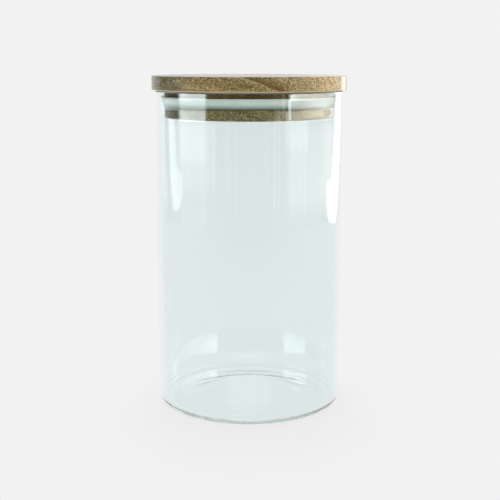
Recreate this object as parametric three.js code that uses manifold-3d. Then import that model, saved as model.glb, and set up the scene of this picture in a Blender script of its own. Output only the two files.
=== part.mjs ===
// Glass storage jar with a turned acacia lid and a silicone seal.
// Millimetres, +Z up. The origin is the middle of the standing ring, on the surface that the jar stands on.
// The front of the jar, which shows the end grain of the lid, faces -Y.

import * as THREE from 'three';
import { mergeVertices } from 'three/addons/utils/BufferGeometryUtils.js';
import Module from 'manifold-3d';

// Glass jar
const JAR_DIAMETER = 100; // outside of the straight wall
const JAR_HEIGHT = 170.5; // standing ring to the top of the rim
const WALL = 2.4; // thickness of the straight wall
const FLOOR = 2; // thickness of the base at its middle
const FLOOR_AT_RING = 2.7; // thickness of the base over its standing ring
const HEEL_RADIUS = 4; // outside corner between wall and base
const FLOOR_CORNER_RADIUS = 1.8; // inside corner between wall and floor
const STANDING_RING_WIDTH = 3; // flat ring that the jar stands on
const PUNT_RISE = 1.5; // how far the base is pushed up inside that ring
const PUNT_BLEND = 20; // width over which it rises, outside and inside
const RIM_EDGE_RADIUS = 0.7; // eased edges of the flat rim

// Lid, turned from a blank of three acacia staves
const LID_OVERHANG = 2; // how far the disc stands out past the wall of the jar
const LID_THICKNESS = 7.5; // the disc that covers the rim
const LID_EDGE_RADIUS = 0.5; // eased top and bottom edges of the disc
const COLLAR_HEIGHT = 3.1; // plug between the disc and the groove of the seal
const FLANGE_HEIGHT = 5.8; // plug below the groove
const PLUG_EDGE_RADIUS = 0.8; // eased bottom edge of the plug
const GROOVE_DEPTH = 2.8; // depth of the groove that holds the seal
const LEFT_STAVE_WIDTH = 18.5; // widths across the grain, from each edge of the disc
const RIGHT_STAVE_WIDTH = 33; // the middle stave takes the rest

// Silicone seal, a band in the groove with a lip that flares up and out
const SEAL_HEIGHT = 5;
const SEAL_WEB = 1.6; // band and lip are one below this height
const LIP_THICKNESS = 0.9;
const LIP_STANDOFF = 0.3; // how far the foot of the lip stands out past the plug
const NOTCH_WIDTH = 0.5; // gap between band and lip at the web
const SEAL_EDGE_RADIUS = 0.25;

// Clearances and the glue between staves
const SEAT_GAP = 0.3; // rim to the underside of the disc
const PLUG_CLEARANCE = 2.3; // plug to the mouth of the jar
const LIP_CLEARANCE = 0.3; // tip of the lip to the mouth of the jar
const GROOVE_CLEARANCE = 0.2; // seal to each face of its groove
const GLUE_LINE = 0.1; // film between two staves

// Fineness of the round shapes
const ROUND_STEPS = 72; // flats around the axis
const ARC_STEPS = 3; // half the steps along an arc of an outline

// Sizes that follow from the ones above
const outerRadius = JAR_DIAMETER / 2;
const innerRadius = outerRadius - WALL;
const lidRadius = outerRadius + LID_OVERHANG;
const plugRadius = innerRadius - PLUG_CLEARANCE;
const grooveRadius = plugRadius - GROOVE_DEPTH;

// Heights of the lid, measured from the underside of its disc
const grooveTop = -COLLAR_HEIGHT;
const grooveBottom = grooveTop - SEAL_HEIGHT - 2 * GROOVE_CLEARANCE;
const plugBottom = grooveBottom - FLANGE_HEIGHT;

const QUARTER = Math.PI / 2;

const wasm = await Module();
wasm.setup();

// Turns an outline, drawn as radius and height, about the Z axis.
function turn(outline) {
  const geometry = new THREE.LatheGeometry(outline.getPoints(ARC_STEPS), ROUND_STEPS);
  geometry.rotateX(QUARTER); // a lathe turns about Y, and the jar stands along Z
  return geometry;
}

// A geometry with only its positions, and one vertex wherever several meet.
function welded(geometry) {
  const bare = geometry.clone();
  bare.deleteAttribute('normal');
  bare.deleteAttribute('uv');
  return mergeVertices(bare);
}

function toSolid(geometry) {
  const { attributes, index } = welded(geometry);
  const vertProperties = new Float32Array(attributes.position.array);
  const triVerts = new Uint32Array(index.array);
  return new wasm.Manifold(new wasm.Mesh({ numProp: 3, vertProperties, triVerts }));
}

function toGeometry(solid) {
  const { vertProperties, triVerts } = solid.getMesh();
  const geometry = new THREE.BufferGeometry();
  geometry.setAttribute('position', new THREE.BufferAttribute(vertProperties, 3));
  geometry.setIndex(new THREE.BufferAttribute(triVerts, 1));
  return geometry;
}

// The jar's outline runs from the middle of the base, up the outside, over the rim and down the inside.
function jarOutline() {
  const ringOuter = outerRadius - HEEL_RADIUS;
  const ringInner = ringOuter - STANDING_RING_WIDTH;
  const puntEdge = ringInner - PUNT_BLEND;
  const puntThird = PUNT_BLEND / 3;
  const rimEdge = JAR_HEIGHT - RIM_EDGE_RADIUS;
  const floorTop = PUNT_RISE + FLOOR;
  const cornerMiddle = innerRadius - FLOOR_CORNER_RADIUS;
  const cornerHeight = FLOOR_AT_RING + FLOOR_CORNER_RADIUS;
  const floorEdge = cornerMiddle - PUNT_BLEND;

  const outline = new THREE.Path();
  outline.moveTo(0, PUNT_RISE);
  outline.lineTo(puntEdge, PUNT_RISE);
  outline.bezierCurveTo(
    puntEdge + puntThird, PUNT_RISE,
    ringInner - puntThird, 0,
    ringInner, 0,
  );
  outline.lineTo(ringOuter, 0);
  outline.absarc(ringOuter, HEEL_RADIUS, HEEL_RADIUS, -QUARTER, 0, false);
  outline.absarc(outerRadius - RIM_EDGE_RADIUS, rimEdge, RIM_EDGE_RADIUS, 0, QUARTER, false);
  outline.absarc(innerRadius + RIM_EDGE_RADIUS, rimEdge, RIM_EDGE_RADIUS, QUARTER, 2 * QUARTER, false);
  outline.lineTo(innerRadius, cornerHeight);
  outline.absarc(cornerMiddle, cornerHeight, FLOOR_CORNER_RADIUS, 0, -QUARTER, true);
  outline.bezierCurveTo(
    cornerMiddle - puntThird, FLOOR_AT_RING,
    floorEdge + puntThird, floorTop,
    floorEdge, floorTop,
  );
  outline.lineTo(0, floorTop);
  return outline;
}

// The lid's outline runs from the middle of the plug's underside, round the groove and the disc, to the top.
function lidOutline() {
  const edge = LID_EDGE_RADIUS;
  const outline = new THREE.Path();
  outline.moveTo(0, plugBottom);
  outline.lineTo(plugRadius - PLUG_EDGE_RADIUS, plugBottom);
  outline.absarc(
    plugRadius - PLUG_EDGE_RADIUS, plugBottom + PLUG_EDGE_RADIUS, PLUG_EDGE_RADIUS, -QUARTER, 0, false,
  );
  outline.lineTo(plugRadius, grooveBottom);
  outline.lineTo(grooveRadius, grooveBottom);
  outline.lineTo(grooveRadius, grooveTop);
  outline.lineTo(plugRadius, grooveTop);
  outline.lineTo(plugRadius, 0);
  outline.lineTo(lidRadius - edge, 0);
  outline.absarc(lidRadius - edge, edge, edge, -QUARTER, 0, false);
  outline.absarc(lidRadius - edge, LID_THICKNESS - edge, edge, 0, QUARTER, false);
  outline.lineTo(0, LID_THICKNESS);
  return outline;
}

// The seal's outline starts at the foot of the band and closes on itself. Heights are from the seal's underside.
function sealOutline() {
  const bandInner = grooveRadius + GROOVE_CLEARANCE;
  const lipFoot = plugRadius + LIP_STANDOFF;
  const lipTip = innerRadius - LIP_CLEARANCE;
  const lipAtWeb = lipFoot + ((lipTip - lipFoot) * SEAL_WEB) / SEAL_HEIGHT;
  const notchOuter = lipAtWeb - LIP_THICKNESS;
  const notchInner = notchOuter - NOTCH_WIDTH;
  const edge = SEAL_EDGE_RADIUS;

  const outline = new THREE.Path();
  outline.moveTo(bandInner, 0);
  outline.lineTo(lipFoot - edge, 0);
  outline.quadraticCurveTo(lipFoot, 0, lipFoot, edge);
  outline.quadraticCurveTo(lipFoot, SEAL_WEB, lipTip, SEAL_HEIGHT - edge);
  outline.quadraticCurveTo(lipTip, SEAL_HEIGHT, lipTip - edge, SEAL_HEIGHT);
  outline.lineTo(lipTip - LIP_THICKNESS, SEAL_HEIGHT);
  outline.lineTo(notchOuter, SEAL_WEB);
  outline.lineTo(notchInner, SEAL_WEB);
  outline.lineTo(notchInner, SEAL_HEIGHT);
  outline.lineTo(bandInner, SEAL_HEIGHT);
  outline.lineTo(bandInner, 0);
  return outline;
}

// The part of the turned lid between two places along X, as one stave of the blank.
function stave(turnedLid, xFrom, xTo) {
  const slab = new THREE.BoxGeometry(xTo - xFrom, 2 * lidRadius, LID_THICKNESS - plugBottom);
  slab.translate((xFrom + xTo) / 2, 0, (LID_THICKNESS + plugBottom) / 2);
  return toGeometry(turnedLid.intersect(toSolid(slab)));
}

function mesh(name, geometry, material) {
  const made = new THREE.Mesh(geometry, material);
  made.name = name;
  return made;
}

const clearGlass = new THREE.MeshStandardMaterial({
  color: 0xdfecea, roughness: 0.04, metalness: 0, transparent: true, opacity: 0.35,
});
const silicone = new THREE.MeshStandardMaterial({
  color: 0xd3dfd9, roughness: 0.42, metalness: 0, transparent: true, opacity: 0.8,
});
const acacia = (color) => new THREE.MeshStandardMaterial({ color, roughness: 0.5, metalness: 0 });

const leftJoint = -lidRadius + LEFT_STAVE_WIDTH;
const rightJoint = lidRadius - RIGHT_STAVE_WIDTH;
const STAVES = [
  { name: 'lid_stave_left', from: -lidRadius, to: leftJoint - GLUE_LINE / 2, color: 0x746a4e },
  { name: 'lid_stave_middle', from: leftJoint + GLUE_LINE / 2, to: rightJoint - GLUE_LINE / 2, color: 0x83693f },
  { name: 'lid_stave_right', from: rightJoint + GLUE_LINE / 2, to: lidRadius, color: 0xb08c5a },
];

const jar = new THREE.Group();
jar.add(mesh('glass_jar', turn(jarOutline()), clearGlass));

const lid = new THREE.Group();
lid.position.z = JAR_HEIGHT + SEAT_GAP;
jar.add(lid);

const turnedLid = toSolid(turn(lidOutline()));
for (const { name, from, to, color } of STAVES) {
  lid.add(mesh(name, stave(turnedLid, from, to), acacia(color)));
}

const seal = mesh('seal_ring', turn(sealOutline()), silicone);
seal.position.z = grooveBottom + GROOVE_CLEARANCE;
lid.add(seal);

export default jar;
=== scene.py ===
# %% [markdown]
# # A glass storage jar with an acacia lid
# The jar is a straight glass cylinder. A flat wooden lid closes it: a disc with a plug below, and a pale
# silicone ring in a groove of that plug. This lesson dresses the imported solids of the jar, its lid and its
# seal with fine meshes and finishes, and lights them on a pale floor.
# We start by loading the solids as a fixed frame. Everything below is in metres, in that frame.

# %% Load the frame
import math

import bmesh
import bpy
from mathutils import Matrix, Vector


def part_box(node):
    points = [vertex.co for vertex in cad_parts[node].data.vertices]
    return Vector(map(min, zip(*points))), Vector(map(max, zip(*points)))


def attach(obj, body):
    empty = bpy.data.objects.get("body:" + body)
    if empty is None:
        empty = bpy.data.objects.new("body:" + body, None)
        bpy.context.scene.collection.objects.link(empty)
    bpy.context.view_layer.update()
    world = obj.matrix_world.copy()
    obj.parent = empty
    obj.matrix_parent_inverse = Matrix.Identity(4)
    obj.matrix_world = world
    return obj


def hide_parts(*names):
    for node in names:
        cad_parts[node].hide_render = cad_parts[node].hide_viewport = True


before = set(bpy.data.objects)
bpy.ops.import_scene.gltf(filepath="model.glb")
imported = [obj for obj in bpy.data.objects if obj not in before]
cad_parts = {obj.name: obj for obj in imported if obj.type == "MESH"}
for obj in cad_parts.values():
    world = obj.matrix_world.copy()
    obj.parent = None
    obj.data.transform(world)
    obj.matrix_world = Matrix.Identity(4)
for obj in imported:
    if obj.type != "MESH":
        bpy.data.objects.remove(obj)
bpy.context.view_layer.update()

# %% [markdown]
# ## Sizes
# The frame gives the outer sizes of each solid. The smaller sizes, such as the wall of the glass and the
# groove in the lid, are repeated here, because a box can't tell them.

# %% Sizes
MM = 0.001

jar_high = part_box("glass_jar")[1]
stave_low, stave_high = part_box("lid_stave_middle")
seal_low, seal_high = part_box("seal_ring")

WALL = 2.4 * MM
FLOOR = 2 * MM
FLOOR_AT_RING = 2.7 * MM
HEEL_RADIUS = 4 * MM
FLOOR_CORNER_RADIUS = 1.8 * MM
STANDING_RING_WIDTH = 3 * MM
PUNT_RISE = 1.5 * MM
PUNT_BLEND = 20 * MM
RIM_EDGE_RADIUS = 0.7 * MM

LID_THICKNESS = 7.5 * MM
LID_EDGE_RADIUS = 0.5 * MM
COLLAR_HEIGHT = 3.1 * MM
FLANGE_HEIGHT = 5.8 * MM
PLUG_EDGE_RADIUS = 0.8 * MM
PLUG_CLEARANCE = 2.3 * MM
GROOVE_DEPTH = 2.8 * MM

SEAL_WEB = 1.6 * MM
LIP_THICKNESS = 0.9 * MM
LIP_STANDOFF = 0.3 * MM
NOTCH_WIDTH = 0.5 * MM
SEAL_EDGE_RADIUS = 0.25 * MM
GROOVE_CLEARANCE = 0.2 * MM

outer_radius = jar_high.x
inner_radius = outer_radius - WALL
rim_top = jar_high.z
lid_radius = stave_high.y
lid_top = stave_high.z
lid_under = lid_top - LID_THICKNESS
plug_bottom = stave_low.z
plug_radius = inner_radius - PLUG_CLEARANCE
groove_radius = plug_radius - GROOVE_DEPTH
print("jar", round(outer_radius / MM, 2), "mm in radius, lid top at", round(lid_top / MM, 2), "mm")

# %% [markdown]
# ## Camera
# The photograph was taken from a little above the lid, close enough for the glass to narrow towards its
# foot. A camera can be set by eye, but the edges of the jar tell more: distance, height, tilt and lens were
# fitted to them. It stands a hair to the right, because the jar is a hair left of the picture's middle.

# %% Camera
CAMERA_PLACE = Vector((0.4 * MM, -529.5 * MM, 186.8 * MM))
CAMERA_TILT = 11.05
CAMERA_LENS = 70.4

camera_data = bpy.data.cameras.new("camera")
camera_data.lens = CAMERA_LENS
camera = bpy.data.objects.new("camera", camera_data)
camera.location = CAMERA_PLACE
camera.rotation_euler = (math.radians(90 - CAMERA_TILT), 0, 0)
bpy.context.scene.collection.objects.link(camera)
bpy.context.scene.camera = camera
print("camera lens", CAMERA_LENS, "mm, looking down", CAMERA_TILT, "degrees")

# %% [markdown]
# ## Turning a shape
# Glass blown in a mould, a lid from a lathe and a moulded ring are all round about one axis. We could start
# from a cylinder and cut it, but an outline turned by the Screw modifier keeps every radius under control.
# First come two helpers that draw the rounded parts of an outline, as points of radius and height.

# %% Helpers for outlines
ARC_STEPS = 12


def arc(middle, radius, start, end, steps=ARC_STEPS):
    """Points (radius, height) on a circle about middle, from one angle to another in degrees."""
    turns = [math.radians(start + (end - start) * i / steps) for i in range(steps + 1)]
    return [(middle[0] + radius * math.cos(t), middle[1] + radius * math.sin(t)) for t in turns]


def curve(*points, steps=ARC_STEPS):
    """Points on a smooth curve: it leaves the first point for the second, and ends at the last."""
    places = []
    for i in range(steps + 1):
        level = points
        while len(level) > 1:
            level = [tuple(a + (b - a) * i / steps for a, b in zip(p, q)) for p, q in zip(level, level[1:])]
        places.append(level[0])
    return places


print("an arc has", len(arc((0, 0), 1, 0, 90)), "points")

# %% [markdown]
# The outline then becomes a mesh. The Screw modifier turns it, and a Weighted Normal modifier keeps the
# flat faces flat where they run into a rounded edge. Both are baked, so that the mesh stands for itself.

# %% Helpers for turned pieces
ROUND_STEPS = 256
SHARP_ANGLE = math.radians(40)
SAME_POINT = 1e-7
MERGE_WITHIN = 10 * SAME_POINT


def linked(name, mesh):
    """A new object in the scene, with this mesh."""
    piece = bpy.data.objects.new(name, mesh)
    bpy.context.scene.collection.objects.link(piece)
    return piece


def bake_modifiers(piece):
    """Keeps the mesh that the modifiers make, and removes them."""
    depsgraph = bpy.context.evaluated_depsgraph_get()
    made = bpy.data.meshes.new_from_object(piece.evaluated_get(depsgraph), depsgraph=depsgraph)
    old = piece.data
    piece.modifiers.clear()
    piece.data = made
    bpy.data.meshes.remove(old)
    made.name = piece.name


def smooth_with_flat_faces(piece):
    """Smooth shading with crisp edges, and faces that stay flat next to their rounded edges."""
    piece.data.polygons.foreach_set("use_smooth", [True] * len(piece.data.polygons))
    piece.data.set_sharp_from_angle(angle=SHARP_ANGLE)
    weighted = piece.modifiers.new("flat faces", "WEIGHTED_NORMAL")
    weighted.keep_sharp = True
    bake_modifiers(piece)


def turned(name, outline, closed=False):
    """Turns an outline of (radius, height) points about the Z axis into a closed mesh."""
    points = [outline[0]]
    for point in outline[1:]:
        if math.dist(point, points[-1]) > SAME_POINT:
            points.append(point)
    edges = [(i, i + 1) for i in range(len(points) - 1)]
    if closed:
        edges.append((len(points) - 1, 0))
    mesh = bpy.data.meshes.new(name)
    mesh.from_pydata([(radius, 0, height) for radius, height in points], edges, [])
    piece = linked(name, mesh)
    screw = piece.modifiers.new("turn", "SCREW")
    screw.steps = ROUND_STEPS
    screw.render_steps = ROUND_STEPS
    screw.use_merge_vertices = True
    screw.merge_threshold = MERGE_WITHIN
    bake_modifiers(piece)
    shape = bmesh.new()
    shape.from_mesh(piece.data)
    bmesh.ops.recalc_face_normals(shape, faces=shape.faces[:])
    shape.to_mesh(piece.data)
    shape.free()
    return piece


print("turned pieces have", ROUND_STEPS, "steps round the axis")

# %% [markdown]
# ## Glass jar
# The jar is one piece: a thin straight wall, a flat rim with eased edges, a rounded heel and a base that is
# pushed up inside its standing ring. Glass needs both its faces, inside and outside, or light doesn't bend
# as it should. A Solidify modifier would make the base as thick as the wall, which it isn't, so the outline
# goes up the outside, over the rim and down the inside.

# %% Glass jar
def jar_outline():
    """From the middle of the base outwards, up, over the rim and back to the middle of the floor inside."""
    ring_outer = outer_radius - HEEL_RADIUS
    ring_inner = ring_outer - STANDING_RING_WIDTH
    punt_edge = ring_inner - PUNT_BLEND
    punt_third = PUNT_BLEND / 3
    rim_edge = rim_top - RIM_EDGE_RADIUS
    floor_top = PUNT_RISE + FLOOR
    corner = (inner_radius - FLOOR_CORNER_RADIUS, FLOOR_AT_RING + FLOOR_CORNER_RADIUS)
    floor_edge = corner[0] - PUNT_BLEND

    outline = [(0, PUNT_RISE)]
    outline += curve(
        (punt_edge, PUNT_RISE), (punt_edge + punt_third, PUNT_RISE),
        (ring_inner - punt_third, 0), (ring_inner, 0),
        steps=2 * ARC_STEPS,
    )
    outline += arc((ring_outer, HEEL_RADIUS), HEEL_RADIUS, -90, 0)
    outline += arc((outer_radius - RIM_EDGE_RADIUS, rim_edge), RIM_EDGE_RADIUS, 0, 90)
    outline += arc((inner_radius + RIM_EDGE_RADIUS, rim_edge), RIM_EDGE_RADIUS, 90, 180)
    outline += arc(corner, FLOOR_CORNER_RADIUS, 0, -90)
    outline += curve(
        (corner[0], FLOOR_AT_RING), (corner[0] - punt_third, FLOOR_AT_RING),
        (floor_edge + punt_third, floor_top), (floor_edge, floor_top),
        steps=2 * ARC_STEPS,
    )
    outline += [(0, floor_top)]
    return outline


jar = turned("jar_glass", jar_outline())
smooth_with_flat_faces(jar)
print("jar_glass:", len(jar.data.polygons), "faces")


# %% [markdown]
# ## Lid
# The lid was turned from a blank of three acacia staves, so its shape runs straight across the glue lines.
# We could model each stave by itself. It is simpler to turn the whole lid once and cut it with flat planes:
# each stave keeps its own piece of the disc, the plug and the groove. The hair of space between staves is
# the glue line.

# %% Lid outline
def lid_outline():
    """From the middle of the plug's underside outwards, in and out of the groove, and over the disc."""
    groove_bottom = plug_bottom + FLANGE_HEIGHT
    groove_top = lid_under - COLLAR_HEIGHT
    edge = LID_EDGE_RADIUS
    plug_edge = (plug_radius - PLUG_EDGE_RADIUS, plug_bottom + PLUG_EDGE_RADIUS)

    outline = [(0, plug_bottom)]
    outline += arc(plug_edge, PLUG_EDGE_RADIUS, -90, 0)
    outline += [(plug_radius, groove_bottom), (groove_radius, groove_bottom)]
    outline += [(groove_radius, groove_top), (plug_radius, groove_top), (plug_radius, lid_under)]
    outline += arc((lid_radius - edge, lid_under + edge), edge, -90, 0)
    outline += arc((lid_radius - edge, lid_top - edge), edge, 0, 90)
    outline += [(0, lid_top)]
    return outline


whole_lid = turned("whole_lid", lid_outline())
print("whole lid:", len(whole_lid.data.polygons), "faces")


# %% Lid staves
STAVE_NODES = {"left": "lid_stave_left", "middle": "lid_stave_middle", "right": "lid_stave_right"}


def stave_of(lid, solid, name):
    """The part of the whole lid that lies where a solid of the frame does, between two planes across X."""
    low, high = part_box(solid)
    shape = bmesh.new()
    shape.from_mesh(lid.data)
    for x, outward in ((low.x, -1), (high.x, 1)):
        if abs(x) < lid_radius - SAME_POINT:
            everything = shape.verts[:] + shape.edges[:] + shape.faces[:]
            cut = bmesh.ops.bisect_plane(
                shape, geom=everything, plane_co=(x, 0, 0), plane_no=(outward, 0, 0), clear_outer=True
            )
            loop = [part for part in cut["geom_cut"] if isinstance(part, bmesh.types.BMEdge)]
            bmesh.ops.edgeloop_fill(shape, edges=loop)
    bmesh.ops.recalc_face_normals(shape, faces=shape.faces[:])
    mesh = bpy.data.meshes.new(name)
    shape.to_mesh(mesh)
    shape.free()
    stave = linked(name, mesh)
    smooth_with_flat_faces(stave)
    return stave


staves = {side: stave_of(whole_lid, solid, f"acacia_stave_{side}") for side, solid in STAVE_NODES.items()}
bpy.data.objects.remove(whole_lid)
for side, stave in staves.items():
    print("stave", side, len(stave.data.polygons), "faces")


# %% [markdown]
# ## Seal
# The seal is a soft ring. Its band sits in the groove, and a thin lip flares up and out to press on the
# glass. A notch behind the lip lets it bend. Only the lip shows through the glass, as a pale, slanted
# stripe. A plain cone would do for it, but a moulded lip starts upright and then flares, so it is a curve.

# %% Seal
def seal_outline():
    """From the inner lower corner of the band outwards, up the lip, through the notch and back."""
    band_inner = groove_radius + GROOVE_CLEARANCE
    bottom, top = seal_low.z, seal_high.z
    lip_foot = plug_radius + LIP_STANDOFF
    lip_tip = seal_high.x
    web_top = bottom + SEAL_WEB
    lip_at_web = lip_foot + (lip_tip - lip_foot) * SEAL_WEB / (top - bottom)
    notch_outer = lip_at_web - LIP_THICKNESS
    notch_inner = notch_outer - NOTCH_WIDTH
    edge = SEAL_EDGE_RADIUS

    outline = [(band_inner, bottom)]
    outline += curve((lip_foot - edge, bottom), (lip_foot, bottom), (lip_foot, bottom + edge))
    outline += curve((lip_foot, bottom + edge), (lip_foot, web_top), (lip_tip, top - edge))
    outline += curve((lip_tip, top - edge), (lip_tip, top), (lip_tip - edge, top))
    outline += [(lip_tip - LIP_THICKNESS, top), (notch_outer, web_top), (notch_inner, web_top)]
    outline += [(notch_inner, top), (band_inner, top)]
    return outline


seal = turned("silicone_seal", seal_outline(), closed=True)
smooth_with_flat_faces(seal)
print("silicone_seal:", len(seal.data.polygons), "faces")

# %% [markdown]
# ## Building materials from nodes
# A material is a small network of nodes. The first helper adds a node, sets its options, and fills each
# input with a plain value or with a link from another node, so that the recipes below read from top to
# bottom. The others name the sums that come back in every recipe.

# %% Node helpers
def node(tree, kind, inputs=(), **options):
    """Adds a node. inputs pairs the names or places of sockets with values or with sockets to link from."""
    made = tree.nodes.new(kind)
    for option, value in options.items():
        setattr(made, option, value)
    for socket, value in dict(inputs).items():
        if isinstance(value, bpy.types.NodeSocket):
            tree.links.new(value, made.inputs[socket])
        else:
            made.inputs[socket].default_value = value
    return made


def math_node(tree, operation, first, second=0.0):
    return node(tree, "ShaderNodeMath", {0: first, 1: second}, operation=operation).outputs[0]


def vector_node(tree, operation, first, second):
    return node(tree, "ShaderNodeVectorMath", {0: first, 1: second}, operation=operation).outputs[0]


def scaled(tree, vector, factor):
    inputs = {0: vector, "Scale": factor}
    return node(tree, "ShaderNodeVectorMath", inputs, operation="SCALE").outputs[0]


def length(tree, vector):
    return node(tree, "ShaderNodeVectorMath", {0: vector}, operation="LENGTH").outputs["Value"]


def axes_of(tree, vector):
    return node(tree, "ShaderNodeSeparateXYZ", {0: vector}).outputs


print("node helpers ready")


# %% Helpers for masks and colours
# Places of the sockets of a Mix node, which differ for colours and for plain values.
MIX_FACTOR = 0
FIRST_COLOUR, SECOND_COLOUR, MIXED_COLOUR = 6, 7, 2
FIRST_VALUE, SECOND_VALUE, MIXED_VALUE = 2, 3, 0


def mapped(tree, value, low, high, to_low=0.0, to_high=1.0):
    """Eases a value from one range to another, and holds it at the ends."""
    ends = {"Value": value, "From Min": low, "From Max": high, "To Min": to_low, "To Max": to_high}
    return node(tree, "ShaderNodeMapRange", ends, interpolation_type="SMOOTHSTEP").outputs[0]


def both(tree, first, second):
    """The share that two masks have in common."""
    return math_node(tree, "MULTIPLY", first, second)


def streak(tree, value, rise, fall):
    """A mask that rises from 0 to 1 over one range of a value, and falls back over another."""
    return both(tree, mapped(tree, value, *rise), mapped(tree, value, *fall))


def band(tree, value, ends, softs):
    """1 between two ends. Each end has its own soft edge, from half its width before to half after."""
    (low, high), (low_half, high_half) = ends, (soft / 2 for soft in softs)
    return streak(tree, value, (low - low_half, low + low_half), (high + high_half, high - high_half))


def mixed_colour(tree, factor, first, second, blend="MIX"):
    inputs = {MIX_FACTOR: factor, FIRST_COLOUR: first, SECOND_COLOUR: second}
    return node(tree, "ShaderNodeMix", inputs, data_type="RGBA", blend_type=blend).outputs[MIXED_COLOUR]


def mixed_value(tree, factor, first, second):
    inputs = {MIX_FACTOR: factor, FIRST_VALUE: first, SECOND_VALUE: second}
    return node(tree, "ShaderNodeMix", inputs, data_type="FLOAT").outputs[MIXED_VALUE]


print("mask helpers ready")


# %% Helpers for patterns and materials
def own_place(tree):
    """Places on the piece itself, in metres."""
    return node(tree, "ShaderNodeTexCoord").outputs["Object"]


def stretched(tree, scale):
    """Places on the piece itself, stretched by scale, in patterns per millimetre."""
    return vector_node(tree, "MULTIPLY", own_place(tree), tuple(s / MM for s in scale))


def noise(tree, place, detail=2.0, roughness=0.5):
    inputs = {"Vector": place, "Scale": 1.0, "Detail": detail, "Roughness": roughness}
    return node(tree, "ShaderNodeTexNoise", inputs).outputs[0]


def bump(tree, height, distance, strength=1.0):
    inputs = {"Height": height, "Distance": distance, "Strength": strength}
    return node(tree, "ShaderNodeBump", inputs).outputs[0]


def new_material(name):
    """A material with only a Principled shader. Returns the material, its tree and that shader."""
    material = bpy.data.materials.new(name)
    material.use_nodes = True
    tree = material.node_tree
    return material, tree, tree.nodes["Principled BSDF"]


print("pattern helpers ready")

# %% [markdown]
# ## Glass
# Clear glass is a Principled shader with full transmission. Part of its faint green lies in the glass
# itself and deepens where light runs a long way through it, at the heel and the rim. That part is a Volume
# Absorption inside the closed mesh. The rest is a plain tint of the skin, which colours light at every face
# that it passes and so keeps the broad wall from looking white. Blown glass is never quite even: a slow
# waviness bends its reflections, and handling leaves a trace of haze.

# %% Glass material
GLASS_IOR = 1.5
GLASS_SKIN = (0.908, 0.955, 0.957, 1)
GLASS_TINT = (0.74, 0.95, 0.90, 1)
GLASS_TINT_DENSITY = 5
GLASS_WAVE_SCALE = (0.05, 0.05, 0.012)
GLASS_WAVE_HEIGHT = 0.03 * MM
HAZE_SCALE = (0.06, 0.06, 0.025)
HAZE_RANGE = (0.55, 0.8)
HAZE_ROUGHNESS = 0.035


def glass_material():
    material, tree, shader = new_material("clear_glass")
    shader.inputs["Base Color"].default_value = GLASS_SKIN
    shader.inputs["Transmission Weight"].default_value = 1
    shader.inputs["IOR"].default_value = GLASS_IOR
    haze = noise(tree, stretched(tree, HAZE_SCALE), detail=4)
    tree.links.new(mapped(tree, haze, *HAZE_RANGE, 0, HAZE_ROUGHNESS), shader.inputs["Roughness"])
    waves = noise(tree, stretched(tree, GLASS_WAVE_SCALE), detail=1)
    tree.links.new(bump(tree, waves, GLASS_WAVE_HEIGHT), shader.inputs["Normal"])
    tint = node(tree, "ShaderNodeVolumeAbsorption", {"Color": GLASS_TINT, "Density": GLASS_TINT_DENSITY})
    tree.links.new(tint.outputs[0], tree.nodes["Material Output"].inputs["Volume"])
    return material


jar.data.materials.append(glass_material())
print("glass tint density", GLASS_TINT_DENSITY)

# %% [markdown]
# ## Acacia
# Wood is solid: the same growth rings show as arches on the end grain at the front of the lid and as long
# lines on its top. An image could not follow that round an edge, so the pattern is worked out in space, in
# millimetres. Rings lie round the middle of the tree, the pith, which ran along Y below each stave. A slow
# warp bends them, and the pith leans a little, because no tree grows straight.

# %% Growth of the tree
WARP_SCALE = (0.06, 0.008, 0.06)
WARP_AMOUNT = 2.6
NOISE_MIDDLE = (0.5, 0.5, 0.5)
ACROSS_GRAIN = (1, 0, 1)
BAND_SCALE = 0.30
BAND_DRIFT = 0.006


def distance_from_pith(group, place, along, given):
    """How far a place in the wood lies from the pith of its tree."""
    warp_inputs = {"Vector": stretched(group, WARP_SCALE), "Scale": 1.0, "Detail": 2.0}
    warp = node(group, "ShaderNodeTexNoise", warp_inputs).outputs["Color"]
    warp = vector_node(group, "SUBTRACT", warp, NOISE_MIDDLE)
    warp = vector_node(group, "MULTIPLY", warp, (WARP_AMOUNT, 0, WARP_AMOUNT))
    pith = vector_node(group, "ADD", given["Pith"], scaled(group, given["Lean"], along))
    from_pith = vector_node(group, "SUBTRACT", vector_node(group, "ADD", place, warp), pith)
    return length(group, vector_node(group, "MULTIPLY", from_pith, ACROSS_GRAIN))


def slow_bands(group, radius, along, given):
    """Slow changes of tone from year to year, which drift along the grain."""
    band_place = {
        "X": math_node(group, "MULTIPLY", radius, BAND_SCALE),
        "Y": math_node(group, "MULTIPLY", along, BAND_DRIFT),
        "Z": given["Heart Start"],
    }
    return noise(group, node(group, "ShaderNodeCombineXYZ", band_place).outputs[0], detail=3, roughness=0.6)


print("rings warp by up to", WARP_AMOUNT / 2, "mm")

# %% [markdown]
# The three staves come from different trees, so the pattern is a node group, placed in each of three
# materials with its own values. It puts out masks. The first ones follow the growth of the tree:
# - Bands are slow changes of tone from year to year, and Rings the thin dark line that ends a year.
# - Heart is a dark streak that starts at one ring, and Pale Line lies just before it.
# - Sap is the pale wood far from the pith.

# %% Masks of growth
# A season runs from 0, the start of a year, to 1, its end. The slow bands shift it.
BAND_RANGE, BAND_YEARS = (0.3, 0.7), 1.5
RING_RISE, RING_FALL = (0.55, 0.93), (1.0, 0.95)

# Distances in millimetres from the ring where the heart or the sap starts.
HEART_RISE, HEART_FALL = (-0.2, 0.3), (4.5, 0.5)
PALE_RISE, PALE_FALL = (-1.2, -0.7), (0.0, -0.4)
SAP_RISE = (-12, 12)


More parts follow.
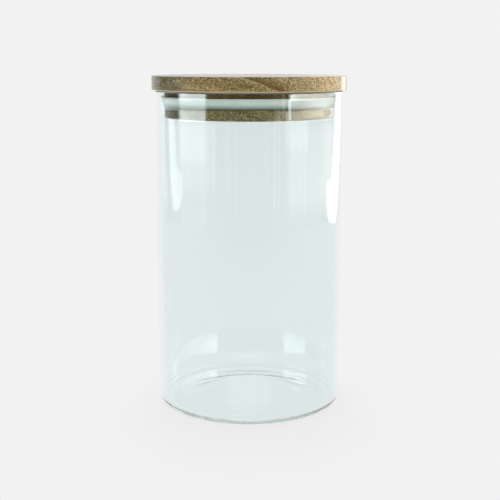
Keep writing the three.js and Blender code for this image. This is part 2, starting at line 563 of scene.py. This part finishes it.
def growth_masks(group, radius, along, given):
    """Masks that follow the distance from the pith, and the season in which the wood grew."""
    bands = slow_bands(group, radius, along, given)
    years = math_node(group, "DIVIDE", radius, given["Ring Width"])
    shift = math_node(group, "MULTIPLY", bands, BAND_YEARS)
    season = math_node(group, "FRACT", math_node(group, "ADD", years, shift))
    past_heart = math_node(group, "SUBTRACT", radius, given["Heart Start"])
    past_sap = math_node(group, "SUBTRACT", radius, given["Sap Start"])
    masks = {
        "Bands": mapped(group, bands, *BAND_RANGE),
        "Rings": streak(group, season, RING_RISE, RING_FALL),
        "Heart": streak(group, past_heart, HEART_RISE, HEART_FALL),
        "Pale Line": streak(group, past_heart, PALE_RISE, PALE_FALL),
        "Sap": mapped(group, past_sap, *SAP_RISE),
    }
    return masks, season


print("the heart fades out by", HEART_FALL[0], "mm past its ring")

# %% [markdown]
# Pores and Flecks are the cut ends of fine tubes, open and dark or filled and pale. A plain noise would
# give wavy streaks, so they are dots, one in the middle of each cell of a scattered pattern. They are round
# on the end grain, and fainter, short dashes where the wood is cut along the grain. Flecks gather in the
# later part of each year.

# %% Masks of pores and flecks
PORE_SCALE, PORE_SIZES, PORE_CHANCE = (1.7, 0.06, 1.7), (0.30, 0.48), 0.85
FLECK_SCALE, FLECK_SIZES, FLECK_CHANCE = (1.65, 0.07, 1.65), (0.32, 0.50), 0.8
CHANCE_SOFT = 0.1
END_GRAIN_RANGE, LONG_GRAIN = (0.2, 0.7), 0.35
FILLED_SEASON, EARLY_FILL, HEART_FILL = (0.15, 0.5), 0.4, 0.15


def dots(tree, scale, sizes, share):
    """Round dots that fade between two sizes, in a share of the cells of a scattered pattern."""
    small, large = sizes
    cells = node(tree, "ShaderNodeTexVoronoi", {"Vector": stretched(tree, scale), "Scale": 1.0}).outputs
    chance = node(tree, "ShaderNodeSeparateColor", {0: cells["Color"]}).outputs[0]
    dot = mapped(tree, cells["Distance"], large, small)
    return both(tree, dot, mapped(tree, chance, share, share - CHANCE_SOFT))


def tube_masks(group, season, heart):
    """Masks of the open and the filled tubes. Few are filled early in a year or in the heart."""
    facing = axes_of(group, node(group, "ShaderNodeTexCoord").outputs["Normal"])["Y"]
    end_grain = mapped(group, math_node(group, "ABSOLUTE", facing), *END_GRAIN_RANGE, LONG_GRAIN, 1)
    late = mapped(group, season, *FILLED_SEASON, EARLY_FILL, 1)
    filled = both(group, late, mapped(group, heart, 0, 1, 1, HEART_FILL))
    flecks = both(group, dots(group, FLECK_SCALE, FLECK_SIZES, FLECK_CHANCE), filled)
    return {
        "Pores": both(group, dots(group, PORE_SCALE, PORE_SIZES, PORE_CHANCE), end_grain),
        "Flecks": both(group, flecks, end_grain),
    }


print("pores and flecks in a share of", PORE_CHANCE, "and", FLECK_CHANCE, "of their cells")

# %% [markdown]
# Two masks follow the height. One is a painted highlight on the lower edge of the disc, lit from below.
# The other is painted shade on the plug between disc and seal, and on the edge just under the seal, where
# the disc and seal shade it. Both could be painted on, but a height stays right when the lid changes size.

# %% Masks of painted highlight and shade
# Half the height of the painted highlight on the disc's lower edge, and the soft ends of the painted bands,
# in mm.
EDGE_HIGHLIGHT_HALF = 0.45
PAINTED_BAND_SOFT = (0.25, 0.25)
# How far the painted shade reaches down the flange's edge under the seal, in millimetres.
FLANGE_SHADE_DEPTH = 0.55


def painted_light_masks(group, height):
    """A painted highlight on the disc's lower edge and painted shade on the neck, from the height in mm."""
    arris = lid_under / MM
    neck = arris - COLLAR_HEIGHT / MM
    flange = (plug_bottom + FLANGE_HEIGHT) / MM
    # Painted shade on the neck and the flange's edge, where the disc and the seal shade them.
    shaded_neck = band(group, height, (neck, arris - EDGE_HIGHLIGHT_HALF), PAINTED_BAND_SOFT)
    shaded_flange = band(group, height, (flange - FLANGE_SHADE_DEPTH, neck), PAINTED_BAND_SOFT)
    return {
        # Painted highlight on the lower edge of the disc, where light from below falls.
        "Edge Highlight": band(group, height, (arris - EDGE_HIGHLIGHT_HALF, arris + EDGE_HIGHLIGHT_HALF), PAINTED_BAND_SOFT),
        "Neck Shade": math_node(group, "MAXIMUM", shaded_neck, shaded_flange),
    }


print("the painted edge highlight is", 2 * EDGE_HIGHLIGHT_HALF, "mm high")

# %% [markdown]
# The group takes where the tree of a stave grew, and puts out all the masks. The last one, Fibres, is the
# finest streaks.

# %% Acacia grain group
FIBRE_SCALE = (3.4, 0.035, 3.4)


def acacia_grain_group():
    group = bpy.data.node_groups.new("acacia_grain", "ShaderNodeTree")
    sockets = {
        "Pith": "NodeSocketVector",
        "Lean": "NodeSocketVector",
        "Ring Width": "NodeSocketFloat",
        "Heart Start": "NodeSocketFloat",
        "Sap Start": "NodeSocketFloat",
    }
    for name, kind in sockets.items():
        group.interface.new_socket(name, in_out="INPUT", socket_type=kind)
    given = node(group, "NodeGroupInput").outputs

    place = stretched(group, (1, 1, 1))
    axes = axes_of(group, place)
    radius = distance_from_pith(group, place, axes["Y"], given)
    masks, season = growth_masks(group, radius, axes["Y"], given)
    masks |= tube_masks(group, season, masks["Heart"])
    masks |= painted_light_masks(group, axes["Z"])
    masks["Fibres"] = noise(group, stretched(group, FIBRE_SCALE), detail=2, roughness=0.6)

    for name in masks:
        group.interface.new_socket(name, in_out="OUTPUT", socket_type="NodeSocketFloat")
    node(group, "NodeGroupOutput", masks)
    return group


acacia_grain = acacia_grain_group()
print("acacia grain group:", len(acacia_grain.nodes), "nodes")

# %% [markdown]
# Each material lays these masks over one another, from the broad to the fine. The lid was sanded fine and
# waxed: seen straight on the wood is almost matt, and only at a glance, towards the ends of the rim and
# over the top, does the wax shine. A Layer Weight brings that shine in, but not on the neck's painted shade.

# %% Acacia materials
HEART_WOOD = (0.140, 0.080, 0.019, 1)
PALE_WOOD = (0.42, 0.33, 0.17, 1)
SAP_WOOD = (0.74, 0.555, 0.30, 1)
FLECK_WOOD = (0.60, 0.485, 0.235, 1)
# A painted highlight for the lower edge of the disc.
EDGE_HIGHLIGHT_COLOUR = (0.66, 0.56, 0.38, 1)
# Painted shade for the neck and the edge just under the seal.
NECK_SHADE_COLOUR = (0.095, 0.050, 0.004, 1)
PORE_SHADE = (0.032, 0.020, 0.005, 1)
FIBRE_RANGE, FIBRE_SHADES = (0.2, 0.8), (0.8, 1.2)
WOOD_ROUGHNESS, PORE_ROUGHNESS = 0.32, 0.55
WOOD_SPECULAR = 0.2
PORE_DEPTH = 0.05 * MM
FIBRE_HEIGHT = 0.3
GRAIN_STRENGTH = 0.5
GLANCE_BLEND = 0.5
WAX_RANGE = (0.45, 0.62)
WAX_SHARE = 0.65
WAX_ROUGHNESS = 0.12

# Each mask, grain or painted light, with its share and its colour, in the order in which they cover one
# another.
LAYERS = (
    ("Sap", 1.0, SAP_WOOD),
    ("Heart", 0.95, HEART_WOOD),
    ("Pale Line", 0.4, PALE_WOOD),
    ("Rings", 0.3, HEART_WOOD),
    ("Flecks", 0.8, FLECK_WOOD),
    ("Pores", 1.0, PORE_SHADE),
    # Painted highlight on the lower edge of the disc.
    ("Edge Highlight", 0.7, EDGE_HIGHLIGHT_COLOUR),
    # Painted shade on the neck and the flange's edge.
    ("Neck Shade", 0.6, NECK_SHADE_COLOUR),
)

# The darkest and palest tone of each stave, and where its tree grew.
STAVE_TONES = {
    "left": ((0.081, 0.075, 0.034, 1), (0.136, 0.128, 0.063, 1)),
    "middle": ((0.158, 0.113, 0.035, 1), (0.258, 0.193, 0.069, 1)),
    "right": ((0.210, 0.150, 0.066, 1), (0.308, 0.226, 0.106, 1)),
}
STAVE_GROWTH = {
    "left": {
        "Pith": (-8, 0, 118), "Lean": (0.05, 0, 0.09),
        "Ring Width": 2.6, "Heart Start": 120, "Sap Start": 130,
    },
    "middle": {
        "Pith": (-26.4, 0, 107), "Lean": (-0.03, 0, 0.10),
        "Ring Width": 3.4, "Heart Start": 79.6, "Sap Start": 91,
    },
    "right": {
        "Pith": (-30, 0, 150), "Lean": (0.04, 0, -0.07),
        "Ring Width": 3.0, "Heart Start": 120, "Sap Start": 69,
    },
}


def acacia_material(name, tones, growth):
    material, tree, shader = new_material(name)
    grain = node(tree, "ShaderNodeGroup", node_tree=acacia_grain)
    for socket, value in growth.items():
        grain.inputs[socket].default_value = value
    out = grain.outputs
    dark, pale = tones

    colour = mixed_colour(tree, out["Bands"], dark, pale)
    for mask, share, tint in LAYERS:
        colour = mixed_colour(tree, math_node(tree, "MULTIPLY", out[mask], share), colour, tint)
    shade = mapped(tree, out["Fibres"], *FIBRE_RANGE, *FIBRE_SHADES)
    shade_colour = node(tree, "ShaderNodeCombineColor", {0: shade, 1: shade, 2: shade}).outputs[0]
    colour = mixed_colour(tree, 1.0, colour, shade_colour, blend="MULTIPLY")
    tree.links.new(colour, shader.inputs["Base Color"])

    roughness = mapped(tree, out["Pores"], 0, 1, WOOD_ROUGHNESS, PORE_ROUGHNESS)
    tree.links.new(roughness, shader.inputs["Roughness"])
    shader.inputs["Specular IOR Level"].default_value = WOOD_SPECULAR
    glance = node(tree, "ShaderNodeLayerWeight", {"Blend": GLANCE_BLEND}).outputs["Facing"]
    shine = mapped(tree, glance, *WAX_RANGE, 0, WAX_SHARE)
    # The wax coat is left off where the neck has painted shade.
    coated = math_node(tree, "SUBTRACT", 1, out["Neck Shade"])
    tree.links.new(both(tree, shine, coated), shader.inputs["Coat Weight"])
    shader.inputs["Coat Roughness"].default_value = WAX_ROUGHNESS
    fibres = math_node(tree, "MULTIPLY", out["Fibres"], FIBRE_HEIGHT)
    height = math_node(tree, "SUBTRACT", fibres, out["Pores"])
    tree.links.new(bump(tree, height, PORE_DEPTH, GRAIN_STRENGTH), shader.inputs["Normal"])
    return material


for side, stave in staves.items():
    stave.data.materials.append(acacia_material(f"acacia_{side}", STAVE_TONES[side], STAVE_GROWTH[side]))
    print("acacia", side, "pith at", STAVE_GROWTH[side]["Pith"])

# %% [markdown]
# ## Silicone
# The seal is milky, unpigmented silicone. Its lip stands out near the glass in full light and looks pale.
# Further down it lies back against the dark wood, which shows through and greys it, and its very foot has
# painted shade where it meets the flange. Light that scatters inside it could be worked out, but that is
# slow and noisy on so small a piece, so the colour changes with height instead, in two steps, as painted
# light and shade. Faint clouds make the moulding uneven, and the matt skin picks up a little dust.

# %% Silicone material
SILICONE_PALE = (0.86, 0.92, 0.83, 1)
SILICONE_GREY = (0.48, 0.59, 0.54, 1)
# Painted shade at the foot of the seal, where it meets the flange.
SILICONE_FOOT_SHADE = (0.22, 0.25, 0.165, 1)

# Heights above the seal's lower edge, over which first the painted shade of the foot and then the grey fades.
FOOT_FROM, FOOT_TO = -0.5 * MM, 2.2 * MM
LIP_CLEARS = 3.4 * MM

CLOUD_SCALE, CLOUD_RANGE, CLOUD_SHADES = (0.25, 0.25, 0.6), (0.3, 0.7), (0.85, 1)
DUST_SCALE, DUST_RANGE, DUST_ROUGHNESS = (2.2, 2.2, 2.2), (0.4, 0.75), (0.34, 0.55)
DUST_HEIGHT = 0.01 * MM
DUST_STRENGTH = 0.5


def silicone_material():
    material, tree, shader = new_material("silicone")
    height = axes_of(tree, own_place(tree))["Z"]
    lip = mapped(tree, height, seal_low.z, seal_low.z + LIP_CLEARS)
    clouds = noise(tree, stretched(tree, CLOUD_SCALE), detail=3)
    pale = both(tree, lip, mapped(tree, clouds, *CLOUD_RANGE, *CLOUD_SHADES))
    colour = mixed_colour(tree, pale, SILICONE_GREY, SILICONE_PALE)
    # Painted shade at the foot of the seal.
    clear_of_foot_shade = mapped(tree, height, seal_low.z + FOOT_FROM, seal_low.z + FOOT_TO)
    colour = mixed_colour(tree, clear_of_foot_shade, SILICONE_FOOT_SHADE, colour)
    tree.links.new(colour, shader.inputs["Base Color"])
    dust = noise(tree, stretched(tree, DUST_SCALE), detail=2)
    tree.links.new(mapped(tree, dust, *DUST_RANGE, *DUST_ROUGHNESS), shader.inputs["Roughness"])
    tree.links.new(bump(tree, dust, DUST_HEIGHT, DUST_STRENGTH), shader.inputs["Normal"])
    return material


seal.data.materials.append(silicone_material())
print("silicone clears the wood", round(LIP_CLEARS / MM, 1), "mm above its foot")

# %% [markdown]
# ## Pieces on their bodies
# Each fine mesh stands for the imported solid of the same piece, and rides on its body. The seal goes up with
# the lid, and the staves also turn.

# %% Ride and replace
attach(jar, "jar")
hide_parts("glass_jar")
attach(seal, "seal")
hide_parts("seal_ring")
for side, stave in staves.items():
    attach(stave, "lid")
    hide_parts(STAVE_NODES[side])
print("pieces:", jar.name, seal.name, *[stave.name for stave in staves.values()])

# %% [markdown]
# ## Floor and background
# The picture has one pale grey all over, and only a breath of shadow before the foot of the jar. A lit
# floor would shade off towards the back. So what the camera sees, directly, in a reflection or through the
# glass, is a plain pale glow. Near the jar a share of the real, lit floor is mixed in, and with it comes
# the shadow. Three masks come from Light Path. The first is for rays that end a view. The second is for
# rays that carry light through the glass to the lid's plug: they find a brighter place, set to match the
# plug in the photograph. The third is for rays that a face has mirrored: the floor is dimmer to them
# towards the camera, and the room, further down, shows to them alone.

# %% Rays and plain materials
# Light Path counts bounces. A count above this is one bounce or more.
NO_BOUNCE = 0.5


def ray_kinds(tree):
    """Masks of rays that end a view, direct, mirrored or through glass, and of those lighting the plug."""
    path = node(tree, "ShaderNodeLightPath").outputs
    seen = math_node(tree, "MAXIMUM", path["Is Camera Ray"], path["Is Glossy Ray"])
    seen = math_node(tree, "MAXIMUM", seen, path["Is Transmission Ray"])
    lighting = math_node(tree, "GREATER_THAN", path["Diffuse Depth"], NO_BOUNCE)
    return seen, both(tree, seen, lighting)


def mirrored_rays(tree):
    """A mask of rays that a face has mirrored on their way. The others only ran through the glass."""
    mirrors = node(tree, "ShaderNodeLightPath").outputs["Glossy Depth"]
    return math_node(tree, "GREATER_THAN", mirrors, NO_BOUNCE)


def bare_material(name):
    """A material without any node yet. Returns the material and its tree."""
    material = bpy.data.materials.new(name)
    material.use_nodes = True
    material.node_tree.nodes.clear()
    return material, material.node_tree


def stage_mesh(name, corners, faces, material):
    """A piece of the stage, which isn't part of the jar."""
    mesh = bpy.data.meshes.new(name)
    mesh.from_pydata(corners, [], faces)
    mesh.materials.append(material)
    piece = linked(name, mesh)
    return piece


print("stage helpers ready")

# %% Floor
PALE_GREY = 0.888
BACKGROUND = (PALE_GREY, PALE_GREY, PALE_GREY, 1)
FLOOR_COLOUR = (0.76, 0.76, 0.76, 1)
FLOOR_HALF = 4

# Shares of the lit floor in what is seen, round the jar and under it. They fade from a place in front of
# the jar, sooner to the sides.
SHADOW_SHARE, UNDER_SHARE = 0.2, 0.05
UNDER_EDGE = 10 * MM
SHADOW_MIDDLE = (0, -30 * MM, 0)
SHADOW_SQUEEZE = (1.3, 1, 1)
SHADOW_FROM, SHADOW_TO = 45 * MM, 110 * MM

# Brightness of the floor to mirrored rays, towards the camera along Y, and of all to rays for the plug.
DIM_FLOOR = 0.65
DIM_FROM, DIM_TO = -0.15, -0.65
INSIDE_LIGHT = 1.38


def floor_material():
    material, tree = bare_material("floor")
    seen, inside = ray_kinds(tree)
    place = own_place(tree)
    distance = length(tree, place)
    under = mapped(tree, distance, outer_radius - UNDER_EDGE, outer_radius, UNDER_SHARE, SHADOW_SHARE)
    from_shadow = vector_node(tree, "SUBTRACT", place, SHADOW_MIDDLE)
    from_shadow = vector_node(tree, "MULTIPLY", from_shadow, SHADOW_SQUEEZE)
    fade = mapped(tree, length(tree, from_shadow), SHADOW_FROM, SHADOW_TO, 1, 0)
    glow = math_node(tree, "SUBTRACT", 1, both(tree, under, fade))
    dim = mapped(tree, axes_of(tree, place)["Y"], DIM_FROM, DIM_TO, 1, DIM_FLOOR)
    strength = mixed_value(tree, inside, mixed_value(tree, mirrored_rays(tree), 1, dim), INSIDE_LIGHT)
    lit = node(tree, "ShaderNodeBsdfDiffuse", {"Color": FLOOR_COLOUR}).outputs[0]
    glowing = node(tree, "ShaderNodeEmission", {"Color": BACKGROUND, "Strength": strength}).outputs[0]
    inputs = {0: both(tree, seen, glow), 1: lit, 2: glowing}
    surface = node(tree, "ShaderNodeMixShader", inputs).outputs[0]
    node(tree, "ShaderNodeOutputMaterial", {"Surface": surface})
    return material


floor_corners = [(x * FLOOR_HALF, y * FLOOR_HALF, 0) for x, y in ((-1, -1), (1, -1), (1, 1), (-1, 1))]
floor = stage_mesh("floor", floor_corners, [(0, 1, 2, 3)], floor_material())
print(floor.name, 2 * FLOOR_HALF, "m wide")

# %% Background
AMBIENT = 0.8

world = bpy.data.worlds.new("studio")
bpy.context.scene.world = world
world.use_nodes = True
sky = world.node_tree
seen, inside = ray_kinds(sky)
backdrop = mixed_value(sky, inside, PALE_GREY, INSIDE_LIGHT * PALE_GREY)
sky.links.new(mixed_value(sky, seen, AMBIENT, backdrop), sky.nodes["Background"].inputs["Color"])
bpy.context.scene.view_settings.view_transform = "Standard"
print("background", PALE_GREY, "ambient", AMBIENT)

# %% [markdown]
# Light runs a long way inside glass: it bounces up the wall and round the heel many times before it leaves.
# Cut short, it would leave black lines at the foot of the jar, so we allow many bounces.

# %% Bounces of light
LIGHT_BOUNCES = 64
cycles = bpy.context.scene.cycles
cycles.max_bounces = LIGHT_BOUNCES
cycles.glossy_bounces = LIGHT_BOUNCES
cycles.transmission_bounces = LIGHT_BOUNCES
print("light may bounce", LIGHT_BOUNCES, "times")

# %% [markdown]
# ## Lights
# Two broad lamps light the jar, because small ones would throw hard shadows. The fill stands behind the
# camera, high up, and shows the end grain of the lid. The other hangs overhead for the top of the lid and
# the floor. Neither is seen by the camera.

# %% Lights
FILL_DISTANCE, FILL_HEIGHT, FILL_TILT = 1.3, 0.5, 75
FILL_SIZE, FILL_RADIANCE = (1.6, 0.5), 2.0
OVERHEAD_PLACE = (0, -0.15, 1.2)
OVERHEAD_SIZE, OVERHEAD_RADIANCE = (1.0, 1.0), 1.0


def round_the_jar(azimuth, distance, height):
    """A place round the jar. Azimuth 0 is the camera's side, and 90 is to the right."""
    turn = math.radians(azimuth)
    return Vector((distance * math.sin(turn), -distance * math.cos(turn), height))


def lamp(name, place, tilt, size, radiance):
    """A rectangular lamp that the camera doesn't see. Its power follows from its size and radiance."""
    data = bpy.data.lights.new(name, "AREA")
    data.shape = "RECTANGLE"
    data.size, data.size_y = size
    data.energy = math.pi * radiance * size[0] * size[1]
    made = linked(name, data)
    made.location = place
    made.rotation_euler = (math.radians(tilt), 0, 0)
    made.visible_camera = False
    return made


fill_place = round_the_jar(0, FILL_DISTANCE, FILL_HEIGHT)
fill = lamp("fill", fill_place, FILL_TILT, FILL_SIZE, FILL_RADIANCE)
overhead = lamp("overhead", OVERHEAD_PLACE, 0, OVERHEAD_SIZE, OVERHEAD_RADIANCE)
print("lights:", fill.name, "and", overhead.name)

# %% [markdown]
# ## Room
# Glass shows its surroundings more than itself. The room behind the camera was dark at the height of the
# lid, and so the wood shows clearly through the front of the glass. A window on the left and a wider,
# warmer glow on the right lie over the plug as two pale panes. We could model that room, but only its
# reflection is seen. So a round screen stands in for it, with soft patches of light whose places follow
# from where their reflections lie in the photograph: on a round wall, a reflection turns twice as far as
# the wall does. The screen shows in reflections alone. A ray that runs straight through the glass finds the
# plain background in its place, so the jar looks clear from every side. It throws no shade.

# %% Room patterns
ROOM_FOOT, ROOM_WAIST, ROOM_DARK = 0.7, 0.5, 0.03
WAIST_HEIGHT, DARK_HEIGHT = 0.105, 0.138
FOLD_SCALE, FOLD_RANGE, FOLD_DEPTH = 0.22, (0.3, 0.7), 0.25
COOL, WARM, TAN = (0.90, 1.0, 1.02), (1.03, 1.0, 0.93), (1.04, 1.0, 0.85)
LEFT_WINDOW = (-91, -52)
RIGHT_GLOW = (48, 125)

# Heights on the screen whose reflections lie over the neck, the seal and the flange of the plug. They are
# lower than those parts, because the camera looks down.
NECK, SEAL, FLANGE = (0.1418, 0.25), (0.130, 0.1418), (0.1185, 0.130)
CRISP = (0.003, 0.003)

# Each patch: azimuths in degrees, the softness of those ends, heights in metres, their softness, radiance
# and tint.
ROOM_LIGHTS = (
    (LEFT_WINDOW, (2, 2), NECK, CRISP, 7.2, COOL),
    (LEFT_WINDOW, (2, 2), SEAL, CRISP, 3.6, COOL),
    (LEFT_WINDOW, (2, 2), FLANGE, CRISP, 5.6, COOL),
    (LEFT_WINDOW, (4, 4), (0.072, 0.1185), (0.02, 0.02), 1.2, COOL),
    (LEFT_WINDOW, (8, 8), (-0.05, 0.072), (0.02, 0.02), 0.3, COOL),
    ((-125, -93), (4, 4), SEAL, CRISP, 1.5, COOL),
    (RIGHT_GLOW, (1.5, 1.5), NECK, CRISP, 2.2, WARM),
    ((48, 95), (1.5, 50), NECK, CRISP, 3.9, WARM),
    ((48, 57), (1.5, 10), NECK, CRISP, 3.0, COOL),
    (RIGHT_GLOW, (1.5, 1.5), SEAL, CRISP, 1.3, WARM),
    ((72, 108), (30, 30), SEAL, CRISP, 2.0, WARM),
    ((48, 110), (1.5, 30), (0.1315, 0.1365), CRISP, 1.3, WARM),
    ((48, 105), (1.5, 50), (0.119, 0.130), CRISP, 2.9, TAN),
    ((66, 100), (20, 20), (0.1225, 0.130), (0.005, 0.003), 1.9, TAN),
    (RIGHT_GLOW, (6, 6), (0.02, 0.1185), (0.04, 0.04), 0.85, WARM),
    ((47.2, 49), (0.5, 0.5), (0.12, 0.142), CRISP, 9.0, COOL),
    ((29.3, 30.7), (0.5, 0.5), (0.02, 0.25), (0.02, 0.02), 0.9, WARM),
    ((34.5, 35.5), (0.5, 0.5), (0.02, 0.25), (0.02, 0.02), 0.7, WARM),
    ((38.5, 41.5), (0.8, 0.8), (0.118, 0.25), CRISP, 1.7, WARM),
    ((31, 37), (2, 2), FLANGE, CRISP, 1.4, WARM),
    ((42.5, 46.8), (1, 1), FLANGE, CRISP, 3.2, WARM),
)


def room_glow(tree, azimuth, height):
    """The dim room, paler towards its foot and with soft folds, and the patches of light on it."""
    fold_inputs = {"W": azimuth, "Scale": FOLD_SCALE, "Detail": 4.0}
    folds = node(tree, "ShaderNodeTexNoise", fold_inputs, noise_dimensions="1D").outputs[0]
    level = mapped(tree, height, 0, WAIST_HEIGHT, ROOM_FOOT, ROOM_WAIST)
    shade = mapped(tree, folds, *FOLD_RANGE, 1 - FOLD_DEPTH, 1 + FOLD_DEPTH)
    level = math_node(tree, "MULTIPLY", level, shade)
    level = mixed_value(tree, mapped(tree, height, WAIST_HEIGHT, DARK_HEIGHT), level, ROOM_DARK)
    colour = node(tree, "ShaderNodeCombineXYZ", {0: level, 1: level, 2: level}).outputs[0]
    for azimuths, turn_softs, heights, height_softs, radiance, tint in ROOM_LIGHTS:
        across = band(tree, azimuth, azimuths, turn_softs)
        patch = both(tree, across, band(tree, height, heights, height_softs))
        glow = scaled(tree, tint, math_node(tree, "MULTIPLY", patch, radiance))
        colour = vector_node(tree, "ADD", colour, glow)
    return colour


print("patches of light in the room:", len(ROOM_LIGHTS))

# %% Room
ROOM_DISTANCE = 0.65
ROOM_HEIGHT = 0.22
ROOM_AZIMUTHS = range(-123, 121, 3)


def room_material():
    material, tree = bare_material("room")
    axes = axes_of(tree, own_place(tree))
    turn = math_node(tree, "ARCTAN2", axes["X"], math_node(tree, "MULTIPLY", axes["Y"], -1))
    colour = room_glow(tree, math_node(tree, "DEGREES", turn), axes["Z"])
    colour = mixed_colour(tree, mirrored_rays(tree), BACKGROUND, colour)
    inside = ray_kinds(tree)[1]
    plain = (INSIDE_LIGHT * PALE_GREY,) * 3 + (1,)
    colour = mixed_colour(tree, inside, colour, plain)
    surface = node(tree, "ShaderNodeEmission", {"Color": colour}).outputs[0]
    node(tree, "ShaderNodeOutputMaterial", {"Surface": surface})
    return material


feet = [round_the_jar(turn, ROOM_DISTANCE, 0) for turn in ROOM_AZIMUTHS]
heads = [round_the_jar(turn, ROOM_DISTANCE, ROOM_HEIGHT) for turn in ROOM_AZIMUTHS]
count = len(feet)
panels = [(i, i + 1, count + i + 1, count + i) for i in range(count - 1)]
room = stage_mesh("room", feet + heads, panels, room_material())
print("room at", ROOM_DISTANCE, "m, from", ROOM_AZIMUTHS[0], "to", ROOM_AZIMUTHS[-1], "degrees")

# %% [markdown]
# A bright window behind the jar, on the right, draws a stepped white strip down each side of the glass:
# one in the outer face on the right, and one in the inner face on the left. A lamp would give a plain bar.
# A flat card that glows, with the outline of the strip, gives the steps as well. It shows in reflections
# alone, too.

# %% Window
WINDOW_DISTANCE = 0.6
WINDOW_FACES = 128
WINDOW_RADIANCE = 3.0

# Corners of the card: azimuth in degrees and height in metres.
WINDOW_OUTLINE = (
    (112, 0.012), (117, 0.006), (132, 0.006), (138, 0.03), (141, 0.05), (147, 0.147), (147, 0.215),
    (130, 0.215), (130, 0.147), (121, 0.056), (109.5, 0.048), (109.5, 0.02),
)


def window_material():
    material, tree = bare_material("window")
    strength = mixed_value(tree, mirrored_rays(tree), PALE_GREY, WINDOW_RADIANCE)
    surface = node(tree, "ShaderNodeEmission", {"Strength": strength}).outputs[0]
    node(tree, "ShaderNodeOutputMaterial", {"Surface": surface})
    return material


def window_corner(azimuth, height):
    """A place on the flat card, which stands square to the direction it faces."""
    off = math.radians(azimuth - WINDOW_FACES)
    return round_the_jar(azimuth, WINDOW_DISTANCE / math.cos(off), height)


window_corners = [window_corner(azimuth, height) for azimuth, height in WINDOW_OUTLINE]
window = stage_mesh("window", window_corners, [tuple(range(len(window_corners)))], window_material())
for screen in (room, window):
    screen.visible_camera = False
    screen.visible_diffuse = False
    screen.visible_shadow = False
print("window of", len(WINDOW_OUTLINE), "corners, faces", WINDOW_FACES, "degrees")
